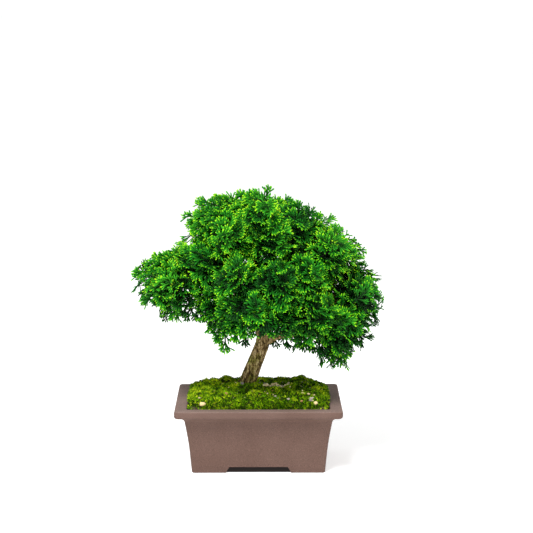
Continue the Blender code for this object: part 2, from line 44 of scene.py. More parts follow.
golden = pi * (3 - sqrt(5))  # The turn from one leaf to the next round a stem
print("frame loaded")

# Camera, floor and light

view = {
    "place": (0, -2, 0.5631), "tiltDown": 9.02, "turn": -0.286, "lens": 111.5, "seesTo": 400,
}
studio = {
    "floorSize": 90, "aimAt": Vector((0, 0, 0.18)),
    # The sky is white at the horizon and dimmer above a low height
    "sky": {"From Min": 0.08, "From Max": 0.3, "To Min": 1.08, "To Max": 0.55},
    # The paper glows, apart from painted shade right under the pot
    "glow": 0.5, "paintedShadeUnderPot": {"X": 0.079, "Y": 0.0535},
    "key": {"place": (-0.55, -1.25, 2.1), "size": 0.8, "power": 60},
    "fill": {"place": (1.3, -1.5, 0.9), "size": 1.4, "power": 8},
}


def addCamera():
    camera = linked("camera", bpy.data.cameras.new("camera"))
    camera.location = view["place"]
    camera.rotation_euler = (radians(90 - view["tiltDown"]), 0, radians(view["turn"]))
    camera.data.lens = view["lens"]
    camera.data.clip_end = view["seesTo"]
    bpy.context.scene.camera = camera


def addLight(name, setting):
    lamp = bpy.data.lights.new(name, "AREA")
    lamp.energy = setting["power"]
    lamp.size = setting["size"]
    light = linked(name, lamp)
    light.location = setting["place"]
    light.rotation_euler = (studio["aimAt"] - light.location).to_track_quat("-Z", "Y").to_euler()


def addSky():
    world = bpy.data.worlds.new("studio")
    bpy.context.scene.world = world
    world.use_nodes = True
    tree = world.node_tree
    sky = tree.nodes["Background"]
    sky.inputs["Color"].default_value = (1, 1, 1, 1)
    axes = tree.nodes.new("ShaderNodeSeparateXYZ")
    tree.links.new(tree.nodes.new("ShaderNodeTexCoord").outputs["Generated"], axes.inputs[0])
    height = tree.nodes.new("ShaderNodeMapRange")
    for socket, value in studio["sky"].items():
        height.inputs[socket].default_value = value
    tree.links.new(axes.outputs["Z"], height.inputs["Value"])
    tree.links.new(height.outputs["Result"], sky.inputs["Strength"])


def linked(name, data):
    made = bpy.data.objects.new(name, data)
    bpy.context.scene.collection.objects.link(made)
    return made


def meshFrom(name, bm):
    mesh = bpy.data.meshes.new(name)
    bm.to_mesh(mesh)
    bm.free()
    return mesh


def newObject(name, bm, **layers):
    # A mesh object, with a value for each vertex in each of its layers
    mesh = meshFrom(name, bm)
    for layer, values in layers.items():
        mesh.attributes.new(layer, "FLOAT", "POINT").data.foreach_set("value", values)
    return linked(name, mesh)


def addFloor():
    bm = bmesh.new()
    bmesh.ops.create_grid(bm, x_segments=1, y_segments=1, size=studio["floorSize"])
    floor = newObject("floor", bm)
    floor.data.materials.append(paperWhite())


# Materials

class Nodes:
    # Short ways to add and join shader nodes
    def __init__(self, name):
        self.material = bpy.data.materials.new(name)
        self.material.use_nodes = True
        self.tree = self.material.node_tree
        self.shader = self.tree.nodes["Principled BSDF"]

    def add(self, kind, **settings):
        node = self.tree.nodes.new("ShaderNode" + kind)
        for key, value in settings.items():
            if key in node.inputs:
                node.inputs[key].default_value = value
            else:
                setattr(node, key, value)
        return node

    def join(self, source, sink):
        self.tree.links.new(source, sink)

    def feed(self, socket, value):
        # Joins the socket to another one, or sets it
        if isinstance(value, bpy.types.NodeSocket):
            self.join(value, socket)
        else:
            socket.default_value = value

    def objectSpace(self):
        return self.add("TexCoord").outputs["Object"]

    def axis(self, name):
        axes = self.add("SeparateXYZ")
        self.join(self.objectSpace(), axes.inputs[0])
        return axes.outputs[name]

    def maths(self, operation, *values):
        node = self.add("Math", operation=operation)
        for socket, value in zip(node.inputs, values):
            self.feed(socket, value)
        return node.outputs[0]

    def grain(self, scale, detail=3, roughness=0.55, stretch=None):
        space = self.objectSpace()
        if stretch:
            mapping = self.add("Mapping", Scale=stretch)
            self.join(space, mapping.inputs["Vector"])
            space = mapping.outputs["Vector"]
        texture = self.add("TexNoise", Scale=scale, Detail=detail, Roughness=roughness)
        self.join(space, texture.inputs["Vector"])
        return texture.outputs["Fac"]

    def ramp(self, source, stops):
        ramp = self.add("ValToRGB")
        elements = ramp.color_ramp.elements
        while len(elements) < len(stops):
            elements.new(0.5)
        for element, (place, colour) in zip(elements, stops):
            element.position = place
            element.color = (*colour, 1)
        self.join(source, ramp.inputs["Fac"])
        return ramp.outputs["Color"]

    def shades(self, source, *colours, middle=0.5):
        return self.ramp(source, list(zip((0, middle, 1), colours)))

    def mix(self, share, first, second, kind="MIX"):
        mix = self.add("Mix", data_type="RGBA", blend_type=kind)
        for index, value in ((0, share), (6, first), (7, second)):
            self.feed(mix.inputs[index], value)
        return mix.outputs[2]

    def value(self, source, low, high, start=0, end=1):
        # The source, from start to end, spread from low to high
        remap = self.add("MapRange")
        for socket, setting in zip(remap.inputs, (source, start, end, low, high)):
            self.feed(socket, setting)
        return remap.outputs["Result"]

    def attribute(self, name):
        return self.add("Attribute", attribute_name=name).outputs["Fac"]

    def bump(self, height, strength, distance, before=None):
        bump = self.add("Bump", Strength=strength, Distance=distance)
        self.join(height, bump.inputs["Height"])
        if before:
            self.join(before, bump.inputs["Normal"])
        return bump.outputs["Normal"]

    def finish(self, colour=None, roughness=None, normal=None, **fixed):
        for socket, source in (("Base Color", colour), ("Roughness", roughness), ("Normal", normal)):
            if source is not None:
                self.join(source, self.shader.inputs[socket])
        for key, value in fixed.items():
            self.shader.inputs[key.replace("_", " ")].default_value = value
        return self.material


def paperWhite():
    look = Nodes("paper white")
    tone = look.ramp(look.grain(3), [(0, (0.88, 0.88, 0.88)), (1, (0.9, 0.9, 0.9))])
    sides = [
        look.maths("DIVIDE", look.maths("ABSOLUTE", look.axis(axis)), half)
        for axis, half in studio["paintedShadeUnderPot"].items()
    ]
    # Painted shade under the pot: there the floor is dark and has no glow
    paintedShadeUnderPot = look.ramp(look.maths("MAXIMUM", *sides), [(0.93, (0.05, 0.042, 0.04)), (0.995, (1, 1, 1))])
    colour = look.mix(1.0, tone, paintedShadeUnderPot, "MULTIPLY")
    look.join(paintedShadeUnderPot, look.shader.inputs["Emission Color"])
    return look.finish(colour, Roughness=0.9, Specular_IOR_Level=0.0, Emission_Strength=studio["glow"])


def clayFinish():
    look = Nodes("unglazed clay")
    blotch = look.ramp(look.grain(22, 4), [(0.3, (0.104, 0.057, 0.043)), (0.7, (0.124, 0.071, 0.055))])
    speck = look.ramp(look.grain(1500, 2, 0.8), [
        (0.3, (0.5, 0.48, 0.46)), (0.5, (1, 1, 1)), (0.72, (1.5, 1.46, 1.42)),
    ])
    colour = look.mix(1.0, blotch, speck, "MULTIPLY")
    # The rim is paler, and palest on top: painted light on the top face, which looks up
    height = look.value(look.axis("Z"), 0, 1, pot["paleFrom"], pot["paleTo"])
    pale = look.ramp(height, [
        (0.2, (1, 1, 1)), (0.4, (1.05, 1.08, 1.1)), (0.9, (1.1, 1.14, 1.18)), (0.98, (1.8, 2.15, 2.4)),
    ])
    colour = look.mix(1.0, colour, pale, "MULTIPLY")
    pits = look.bump(look.grain(1100, 4, 0.7), 0.35, 0.0004)
    drag = look.bump(look.grain(120, 4, 0.6, (1, 1, 0.25)), 0.25, 0.0007, pits)
    rough = look.value(look.grain(300), 0.62, 0.82)
    return look.finish(colour, rough, drag, Specular_IOR_Level=0.3)


def mossGround():
    look = Nodes("moss mat")
    colour = look.ramp(look.grain(420, 5, 0.7), [
        (0.3, (0.010, 0.012, 0.002)), (0.55, (0.03, 0.055, 0.003)), (0.75, (0.07, 0.12, 0.005)),
    ])
    relief = look.bump(look.grain(900, 4, 0.7), 0.9, 0.001)
    return look.finish(colour, None, relief, Roughness=0.95, Specular_IOR_Level=0.1)


def mossShoots():
    look = Nodes("moss shoots")
    tone = look.attribute("tone")
    low = look.shades(tone, (0.006, 0.018, 0.001), (0.05, 0.13, 0.001), (0.20, 0.38, 0.002))
    high = look.shades(tone, (0.03, 0.14, 0.002), (0.32, 0.78, 0.004), (0.85, 1, 0.03))
    lit = look.ramp(look.attribute("tip"), [(0.1, (0, 0, 0)), (0.5, (1, 1, 1))])
    colour = look.mix(lit, low, high)
    patch = look.ramp(look.grain(55), [(0.35, (0.7, 0.72, 0.7)), (0.6, (1.15, 1.05, 1))])
    colour = look.mix(1.0, colour, patch, "MULTIPLY")
    return look.finish(colour, look.value(look.grain(800), 0.6, 0.8), None, Specular_IOR_Level=0.08)


def gritFinish():
    look = Nodes("grit")
    # The tone below 0.06 is a brighter copy of the cream stone: painted light on the row of stones in the
    # crown's shade
    tint = look.ramp(look.attribute("tone"), [
        (0, (1, 0.88, 0.52)), (0.06, (0.84, 0.67, 0.34)), (0.3, (0.68, 0.55, 0.30)),
        (0.5, (0.42, 0.23, 0.09)), (0.65, (0.30, 0.27, 0.25)), (0.8, (0.46, 0.42, 0.33)),
        (1, (0.22, 0.11, 0.06)),
    ])
    look.tree.nodes[-1].color_ramp.interpolation = "CONSTANT"
    dirt = look.ramp(look.grain(900, 5, 0.7), [(0.3, (0.62, 0.57, 0.5)), (0.6, (1.1, 1.1, 1.1))])
    colour = look.mix(1.0, tint, dirt, "MULTIPLY")
    return look.finish(colour, None, look.bump(look.grain(1300, 4, 0.7), 0.7, 0.0004), Roughness=0.8)


def barkFinish():
    look = Nodes("fibrous bark")
    strands = look.grain(300, 6, 0.75, (1, 1, 0.28))
    flakes = look.grain(650, 5, 0.75, (1, 1, 0.5))
    deep = look.ramp(strands, [
        (0.40, (0.03, 0.018, 0.006)), (0.465, (0.18, 0.118, 0.045)),
        (0.53, (0.36, 0.255, 0.115)), (0.60, (0.62, 0.48, 0.27)),
    ])
    cracks = look.ramp(flakes, [(0.42, (0.3, 0.25, 0.2)), (0.53, (1.1, 1.1, 1.05))])
    green = look.ramp(look.grain(45, 4), [(0.48, (1, 1, 1)), (0.62, (0.62, 0.86, 0.3))])
    colour = look.mix(1.0, look.mix(1.0, deep, green, "MULTIPLY"), cracks, "MULTIPLY")
    relief = look.bump(strands, 1.0, 0.0018)
    relief = look.bump(flakes, 0.7, 0.0008, relief)
    return look.finish(colour, look.value(flakes, 0.75, 0.95), relief, Specular_IOR_Level=0.1)


def leafFinish():
    look = Nodes("scale leaves")
    tone = look.attribute("tone")
    tip = look.attribute("tip")
    # Old growth is near black: its own darker colour, and painted shade deep in the fans and at the feet of
    # the fingers
    oldAndShaded = look.shades(tone, (0.001, 0.004, 0.001), (0.001, 0.014, 0.001), (0.002, 0.035, 0.001))
    grown = look.shades(tone, (0.001, 0.045, 0.002), (0.010, 0.25, 0.005), (0.07, 0.50, 0.012))
    fresh = look.shades(tone, (0.006, 0.12, 0.003), (0.26, 0.80, 0.003), (0.66, 1, 0.012), middle=0.45)
    blade = look.mix(look.value(tip, -0.25, 1.4), oldAndShaded, grown)
    ends = look.ramp(tip, [(0.74, (0, 0, 0)), (0.92, (1, 1, 1))])
    colour = look.mix(ends, blade, fresh)
    cells = look.add("TexVoronoi", Scale=620.0, feature="DISTANCE_TO_EDGE")
    look.join(look.objectSpace(), cells.inputs["Vector"])
    seams = look.ramp(cells.outputs["Distance"], [(0.0, (0.6, 0.66, 0.6)), (0.14, (1, 1, 1))])
    colour = look.mix(1.0, colour, seams, "MULTIPLY")
    relief = look.bump(cells.outputs["Distance"], 0.5, 0.0005)
    return look.finish(colour, look.value(look.grain(500), 0.5, 0.7), relief, Specular_IOR_Level=0.16)


def earthFinish():
    look = Nodes("earth")
    colour = look.ramp(look.grain(500, 5, 0.7), [(0.3, (0.02, 0.012, 0.007)), (0.7, (0.10, 0.06, 0.035))])
    return look.finish(colour, None, look.bump(look.grain(700, 4, 0.7), 0.8, 0.001), Roughness=0.95)


def netFinish():
    look = Nodes("net plastic")
    colour = look.ramp(look.grain(400), [(0.3, (0.012, 0.012, 0.013)), (0.7, (0.03, 0.03, 0.032))])
    return look.finish(colour, look.value(look.grain(900), 0.4, 0.6))


def between(low, high, share):
    return low + (high - low) * share


def dressed(piece, finish, slot, *nodes, smooth=True):
    # A finished piece: its material, the body it rides on and the solids it stands for
    piece.data.materials.clear()
    piece.data.materials.append(finish)
    if smooth:
        piece.data.shade_smooth()
    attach(piece, "root")
    if nodes:
        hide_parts(*nodes)
    return piece


# Pot

pot = {
    "rimHalf": Vector((101.5, 76)) * mm, "height": 81 * mm, "rimWidth": 15 * mm, "lip": 9 * mm,
    "neck": 12.6 * mm, "foot": 20.4 * mm, "wall": 7.5 * mm, "footHeight": 7.5 * mm, "floor": 14.5 * mm,
    "footWidth": 16 * mm, "recess": 8.5 * mm, "notch": Vector((35.6, 22)) * mm, "slant": 4.859 * mm,
    "below": 1 * mm, "corner": 3 * mm, "cornerSteps": 8, "soften": 0.7 * mm, "softenSteps": 3,
    "softenAngle": 38, "sharpAngle": 40, "drainRadius": 7.5 * mm, "drainX": 40 * mm, "drainSides": 40,
    "paleFrom": 66 * mm, "paleTo": 81.2 * mm,
}


def arcPoints(centre, radius, start, end, steps):
    angles = [radians(between(start, end, k / steps)) for k in range(steps + 1)]
    return [(centre[0] + radius * cos(a), centre[1] + radius * sin(a)) for a in angles]


def throughPoints(points, steps):
    # A smooth curve through the points, so many steps between each pair
    points = [Vector(p) for p in points]
    ends = [points[0] * 2 - points[1], *points, points[-1] * 2 - points[-2]]
    curve = []
    for a, b, c, d in zip(ends, ends[1:], ends[2:], ends[3:]):
        for k in range(steps):
            t = k / steps
            bend = (b * 3 - a - c * 3 + d) * t * t * t
            curve.append((b * 2 + (c - a) * t + (a * 2 - b * 5 + c * 4 - d) * t * t + bend) / 2)
    return curve + [points[-1]]


def potProfile():
    # (inset from the rim, height): up the outside, over the rim and down the inside
    lipFoot = pot["height"] - pot["lip"]
    neck = pot["neck"]
    foot = pot["foot"]
    outside = throughPoints([
        (foot, 1 * mm), (between(foot, neck, 0.44), lipFoot / 2), (neck, lipFoot - 9 * mm),
        (neck - 1.6 * mm, lipFoot - 4.5 * mm), (neck - 5 * mm, lipFoot - 1.6 * mm),
    ], 4)
    lip = arcPoints((3.5 * mm, lipFoot + 3 * mm), 3.5 * mm, 258, 180, 6)
    top = arcPoints((2 * mm, pot["height"] - 2 * mm), 2 * mm, 180, 90, 6)
    inner = arcPoints((pot["rimWidth"] - 1.5 * mm, pot["height"] - 1.5 * mm), 1.5 * mm, 90, 0, 5)
    inside = [
        (pot["rimWidth"], pot["height"] - 8 * mm), (neck + pot["wall"], lipFoot - 10 * mm),
        (foot + pot["wall"], pot["floor"] + 4 * mm), (foot + pot["wall"] + 3.5 * mm, pot["floor"]),
    ]
    return [(foot + 1 * mm, 0), (foot + 0.3 * mm, 0.3 * mm)] + outside + lip + top + inner + inside


def cutter(bm):
    bmesh.ops.recalc_face_normals(bm, faces=bm.faces)
    made = newObject("cutter", bm)
    made.hide_render = True
    return made


def blockCutter(low, high):
    bm = bmesh.new()
    size = Vector(high) - Vector(low)
    middle = Matrix.Translation((Vector(high) + Vector(low)) / 2)
    bmesh.ops.create_cube(bm, size=1, matrix=middle @ Matrix.Diagonal((*size, 1)))
    return cutter(bm)


def notchCutter(half, reach, turn):
    # A bar through the foot, wider at the ground
    bm = bmesh.new()
    bmesh.ops.create_cube(bm, size=1)
    for vert in bm.verts:
        low = vert.co.z < 0
        width = half + pot["slant"] if low else half
        height = -pot["below"] if low else pot["footHeight"]
        vert.co = (copysign(width, vert.co.x), copysign(reach, vert.co.y), height)
    bmesh.ops.rotate(bm, verts=bm.verts, matrix=Matrix.Rotation(radians(turn), 3, "Z"))
    return cutter(bm)


def drainCutter(x):
    bm = bmesh.new()
    bmesh.ops.create_cone(
        bm, cap_ends=True, segments=pot["drainSides"], radius1=pot["drainRadius"],
        radius2=pot["drainRadius"], depth=pot["floor"], matrix=Matrix.Translation((x, 0, pot["floor"])),
    )
    return cutter(bm)


def cutAway(piece, cutters):
    for tool in cutters:
        modifier = piece.modifiers.new("cut", "BOOLEAN")
        modifier.operation = "DIFFERENCE"
        modifier.object = tool
    bevel = piece.modifiers.new("soft edges", "BEVEL")
    bevel.width = pot["soften"]
    bevel.segments = pot["softenSteps"]
    bevel.limit_method = "ANGLE"
    bevel.angle_limit = radians(pot["softenAngle"])
    mesh = bpy.data.meshes.new_from_object(piece.evaluated_get(bpy.context.evaluated_depsgraph_get()))
    piece.modifiers.clear()
    piece.data = mesh
    for tool in cutters:
        bpy.data.objects.remove(tool)


def makePot():
    bm = bmesh.new()
    bmesh.ops.create_grid(bm, x_segments=1, y_segments=1, size=1)
    profile = potProfile()
    inset, height = profile[0]
    half = pot["rimHalf"] - Vector((inset, inset))
    bmesh.ops.transform(bm, matrix=Matrix.Diagonal((half.x, half.y, 1, 1)), verts=bm.verts)
    bmesh.ops.bevel(
        bm, geom=bm.verts[:], offset=pot["corner"], offset_type="OFFSET", affect="VERTICES",
        segments=pot["cornerSteps"], profile=0.5, material=-1,
    )
    ring = bm.edges[:]
    for inset, height in profile[1:]:
        grown = bmesh.ops.extrude_edge_only(bm, edges=ring)["geom"]
        verts = [g for g in grown if isinstance(g, bmesh.types.BMVert)]
        ring = [g for g in grown if isinstance(g, bmesh.types.BMEdge)]
        wanted = pot["rimHalf"] - Vector((inset, inset))
        for vert in verts:
            vert.co.z = height
        bmesh.ops.scale(bm, vec=(wanted.x / half.x, wanted.y / half.y, 1), verts=verts)
        half = wanted
    bmesh.ops.contextual_create(bm, geom=ring)
    bmesh.ops.recalc_face_normals(bm, faces=bm.faces)
    piece = newObject("clayPot", bm)
    inner = pot["rimHalf"] - Vector((1, 1)) * (pot["foot"] + pot["footWidth"])
    cutAway(piece, [
        blockCutter((-inner.x, -inner.y, -pot["below"]), (inner.x, inner.y, pot["recess"])),
        notchCutter(pot["notch"].x, pot["rimHalf"].y, 0),
        notchCutter(pot["notch"].y, pot["rimHalf"].x, 90),
        drainCutter(-pot["drainX"]),
        drainCutter(pot["drainX"]),
    ])
    dressed(piece, clayFinish(), "clay", "pot")
    piece.data.set_sharp_from_angle(angle=radians(pot["sharpAngle"]))


# Moss

moss = {
    "half": Vector((85.9, 60.4)) * mm, "edge": 76 * mm, "rise": 12 * mm, "edgeStep": 4 * mm,
    "depth": 7 * mm, "lump": 1.6 * mm, "cells": (150, 104), "crowding": 0.85, "bow": (0.10, 0.14),
    "foot": 0.5 * mm,
    # The ends swell over the rim, and there is a heap by the trunk
    "swell": 2.6 * mm, "swellFrom": 82.5 * mm, "swellHeight": 11 * mm,
    "heap": 6 * mm, "heapAt": Vector((-15, -9)) * mm, "heapWidth": 15 * mm,
    # Cushions: how many to a metre, the slice of noise and the height in millimetres
    "cushions": ((62, 0.3, 7), (170, 7, 3.2)), "crease": 3.2, "edgeCushion": 0.25,
    "tufts": 5900, "tuftKinds": 6, "tuftSize": (0.7, 1.3), "upright": 0.4, "leaves": 7,
    "leafLength": 3.5 * mm, "leafSpread": (0.7, 1.15), "leafLean": (25, 75), "leafRadius": 0.6 * mm,
    "sideEvery": 5, "sides": (78 * mm, 92 * mm), "endShare": 0.42, "sunk": 0.4 * mm, "rayFrom": 0.2,
    "trunkAt": Vector((-15.5, 5)) * mm, "clearOfTrunk": 7 * mm,
    "bareAt": Vector((22, 3)) * mm, "bareHalf": Vector((17, 8)) * mm, "bareShare": 0.8,
    "tone": 0.55, "toneCushion": 0.16, "toneLeft": 0.13, "toneSpread": 0.45,
    # A small darker bush at the back
    "bushAt": Vector((54, 47)) * mm, "bush": 90, "bushRadius": 5 * mm, "bushHeight": 3 * mm,
    "bushTone": 0.12,
}


def cushion(x, y):
    # Round cushions with creases between them, from below zero up to some millimetres
    heights = [
        abs(noise.noise(Vector((x, y, level)) * often)) * high for often, level, high in moss["cushions"]
    ]
    return (sum(heights) - moss["crease"]) * mm


def mossHeight(x, y):
    # The mound of the solid mat, with its waves, and cushions and a heap on it
    share = min(1, ((abs(x) / moss["half"].x) ** 6 + (abs(y) / moss["half"].y) ** 6) ** (1 / 6))
    dome = sqrt(max(0, 1 - share ** 8))
    lumps = sin(x * 150 + 1) * cos(y * 170) + 0.6 * sin(x * 310 + y * 270)
    depth = between(moss["edgeStep"], moss["depth"], dome)
    heap = moss["heap"] * exp(-(((Vector((x, y)) - moss["heapAt"]).length / moss["heapWidth"]) ** 2))
    waves = moss["lump"] * lumps * dome + cushion(x, y) * between(moss["edgeCushion"], 1, dome)
    return moss["edge"] + moss["rise"] * dome + depth + waves + heap


def makeMossMat():
    bm = bmesh.new()
    bmesh.ops.create_grid(bm, x_segments=moss["cells"][0], y_segments=moss["cells"][1], size=1)
    bowX, bowY = moss["bow"]
    for vert in bm.verts:
        u, v = vert.co.x, vert.co.y
        x = copysign(abs(u) ** moss["crowding"], u) * sqrt(1 - bowX * v ** 8) * moss["half"].x
        y = copysign(abs(v) ** moss["crowding"], v) * sqrt(1 - bowY * u ** 8) * moss["half"].y
        z = mossHeight(x, y)
        risen = min(1, max(0, (z - moss["swellFrom"]) / moss["swellHeight"]))
        swell = moss["swell"] * sin(pi * risen)
        vert.co = (x + copysign(swell, x) * abs(u) ** 8, y, z)
    rim = [e for e in bm.edges if e.is_boundary]
    grown = bmesh.ops.extrude_edge_only(bm, edges=rim)["geom"]
    for vert in [g for g in grown if isinstance(g, bmesh.types.BMVert)]:
        vert.co.z = moss["edge"] + moss["foot"]
    bottom = [g for g in grown if isinstance(g, bmesh.types.BMEdge)]
    bmesh.ops.contextual_create(bm, geom=bottom)
    bmesh.ops.recalc_face_normals(bm, faces=bm.faces)
    piece = newObject("mossMat", bm)
    return dressed(piece, mossGround(), "moss", "moss")


def stamp(target, mesh, matrix):
    # Adds a copy of a small mesh to a large one
    copy = mesh.copy()
    copy.transform(matrix)
    target.from_mesh(copy)
    bpy.data.meshes.remove(copy)


def plant(target, template, matrix, tones, tone, tips):
    # Stamps a template, with one tone for it and a value for each of its vertices
    stamp(target, template["mesh"], matrix)
    tones += [tone] * len(template["tips"])
    tips += template["tips"]


def tuftTemplate(draw):
    bm = bmesh.new()
    tips = []
    for leaf in range(moss["leaves"]):
        turn = tau * (leaf + draw.random()) / moss["leaves"]
        lean = radians(8 if leaf == 0 else draw.uniform(*moss["leafLean"]))
        length = moss["leafLength"] * draw.uniform(*moss["leafSpread"])
        leaning = Matrix.Rotation(turn, 4, "Z") @ Matrix.Rotation(lean, 4, "X")
        bmesh.ops.create_cone(
            bm, cap_ends=True, segments=3, radius1=moss["leafRadius"], radius2=0, depth=length,
            matrix=leaning @ Matrix.Translation((0, 0, length / 2)),
        )
        tips += [0.1] * 3 + [1.0] * (len(bm.verts) - len(tips) - 3)
    return {"mesh": meshFrom("tuft", bm), "tips": tips}


def raySide(u, v, height):
    # From outside the mat towards its nearest side
    long = abs(v) > moss["endShare"] * abs(u)
    inward = Vector((0, -copysign(1, v), 0)) if long else Vector((-copysign(1, u), 0, 0))
    start = Vector((u * moss["half"].x, v * moss["half"].y, height))
    return start - inward * (moss["rayFrom"] + start.dot(inward)), inward


def isBare(spot, draw):
    # Little moss grows where the row of grit lies
    off = spot - moss["bareAt"]
    inside = (off.x / moss["bareHalf"].x) ** 2 + (off.y / moss["bareHalf"].y) ** 2 < 1
    return inside and draw.random() < moss["bareShare"]


def makeMossShoots(ground):
    draw = random.Random(21)
    templates = [tuftTemplate(draw) for kind in range(moss["tuftKinds"])]
    bm = bmesh.new()
    tones = []
    tips = []
    for tuft in range(moss["tufts"]):
        u = draw.uniform(-1, 1)
        v = draw.uniform(-1, 1)
        x = u * moss["half"].x
        y = v * moss["half"].y
        ray = (Vector((x, y, moss["rayFrom"])), -up)
        if tuft % moss["sideEvery"] == 0:
            ray = raySide(u, v, draw.uniform(*moss["sides"]))
        hit, normal, face, far = ground.ray_cast(*ray)
        if hit is None or (hit.xy - moss["trunkAt"]).length < moss["clearOfTrunk"]:
            continue
        if isBare(hit.xy, draw):
            continue
        turn = Matrix.Rotation(draw.random() * tau, 4, "Z")
        size = draw.uniform(*moss["tuftSize"])
        lean = (normal + up * moss["upright"]).normalized().to_track_quat("Z", "Y").to_matrix().to_4x4()
        place = Matrix.Translation(hit - normal * moss["sunk"]) @ lean @ turn @ Matrix.Scale(size, 4)
        clump = moss["tone"] + moss["toneCushion"] * cushion(x, y) / mm - moss["toneLeft"] * u
        tone = min(1, max(0, clump + draw.uniform(-1, 1) * moss["toneSpread"]))
        plant(bm, draw.choice(templates), place, tones, tone, tips)
    for tuft in range(moss["bush"]):
        angle = tuft * golden
        far = sqrt(tuft / moss["bush"])
        out = Vector((cos(angle), sin(angle))) * far
        spot = moss["bushAt"] + out * moss["bushRadius"]
        hit = ground.ray_cast(Vector((*spot, moss["rayFrom"])), -up)[0]
        if hit:
            lean = Vector((*out, 1.1 - far)).to_track_quat("Z", "Y").to_matrix().to_4x4()
            place = Matrix.Translation(hit + up * moss["bushHeight"] * (1 - far * far)) @ lean
            plant(bm, draw.choice(templates), place, tones, moss["bushTone"], tips)
    piece = newObject("mossShoots", bm, tone=tones, tip=tips)
    dressed(piece, mossShoots(), "moss", smooth=False)


# Grit: x, y, size in millimetres and tone of the stones that show, then others by chance

grit = {
    "seen": (
        (-67, -57, 9, 0.1), (-71, -46, 4.5, 0.35), (-39, -45, 5, 0.55), (-20, -15, 5.5, 0.7),
        (-58, -7, 3.5, 0.95), (12, -3, 4.5, 0.1), (18, 0, 5, 0.35), (26, 0, 5, 0.1), (32, -2, 4, 0.35),
        (21, -46, 4.5, 0.85), (15, -63, 4.5, 0.85), (36, -55, 4.5, 0.95), (52, -55, 5, 0.55),
        (54, -41, 5, 0.1), (61, -44, 4, 0.35), (67, -43, 4.5, 0.1), (63, -55, 5, 0.8),
        (69, -56, 6, 0.1), (64, -52, 6, 0.95), (52, 1, 4, 0.35), (56, 0, 4, 0.7), (48, -20, 4.5, 0.1),
    ),
    "lift": 1.6, "kinds": 7, "lumps": 0.55, "fineness": 1.9, "wide": (0.6, 0.9), "high": (0.45, 0.7),
    # Small stones everywhere, more of them on the right
    "small": 150, "smallX": (-80, 80), "smallY": (-55, 55), "smallSize": (0.8, 2.4), "leftShare": 0.45,
    # A row of pale stones on the bare ground right of the trunk; most get the brightest tone, painted
    # light, since the crown shades them
    "row": 44, "rowX": (6, 38), "rowY": (-8, 8), "rowSize": (2.4, 5.4), "rowLift": 3.2,
    "rowTones": (0.02, 0.02, 0.02, 0.1, 0.95), "tip": 0.4,
}


def stoneTemplate(draw):
    bm = bmesh.new()
    bmesh.ops.create_icosphere(bm, subdivisions=2, radius=0.5)
    shift = Vector((draw.random(), draw.random(), draw.random())) * 20
    for vert in bm.verts:
        vert.co *= 1 + grit["lumps"] * noise.noise(vert.co * grit["fineness"] + shift)
    flat = (1, draw.uniform(*grit["wide"]), draw.uniform(*grit["high"]))
    bmesh.ops.scale(bm, vec=flat, verts=bm.verts)
    return {"tips": [0.0] * len(bm.verts), "mesh": meshFrom("stone", bm)}


def makeGrit(ground):
    draw = random.Random(8)
    templates = [stoneTemplate(draw) for kind in range(grit["kinds"])]
    stones = [(*stone, grit["lift"]) for stone in grit["seen"]]
    for stone in range(grit["small"]):
        x = draw.uniform(*grit["smallX"])
        y = draw.uniform(*grit["smallY"])
        if x > 0 or draw.random() < grit["leftShare"]:
            stones.append((x, y, draw.uniform(*grit["smallSize"]), draw.random(), grit["lift"]))
    for stone in range(grit["row"]):
        x = draw.uniform(*grit["rowX"])
        y = draw.uniform(*grit["rowY"])
        size = draw.uniform(*grit["rowSize"])
        stones.append((x, y, size, draw.choice(grit["rowTones"]), grit["rowLift"]))
    bm = bmesh.new()
    tones = []
    tips = []
    for x, y, size, tone, lift in stones:
        hit = ground.ray_cast(Vector((x * mm, y * mm, moss["rayFrom"])), -up)[0]
        if hit is None or (hit.xy - moss["trunkAt"]).length < moss["clearOfTrunk"] + size * mm:
            continue
        turn = Matrix.Rotation(draw.random() * tau, 4, "Z")
        turn = turn @ Matrix.Rotation(draw.uniform(-1, 1) * grit["tip"], 4, "X")
        place = Matrix.Translation(hit + up * lift * mm) @ turn @ Matrix.Scale(size * mm, 4)
        plant(bm, draw.choice(templates), place, tones, tone, tips)
    piece = newObject("gritStones", bm, tone=tones, tip=tips)
    dressed(piece, gritFinish(), "moss")


# Wood: points and radii of the trunk and branches in millimetres, then the roots and twigs

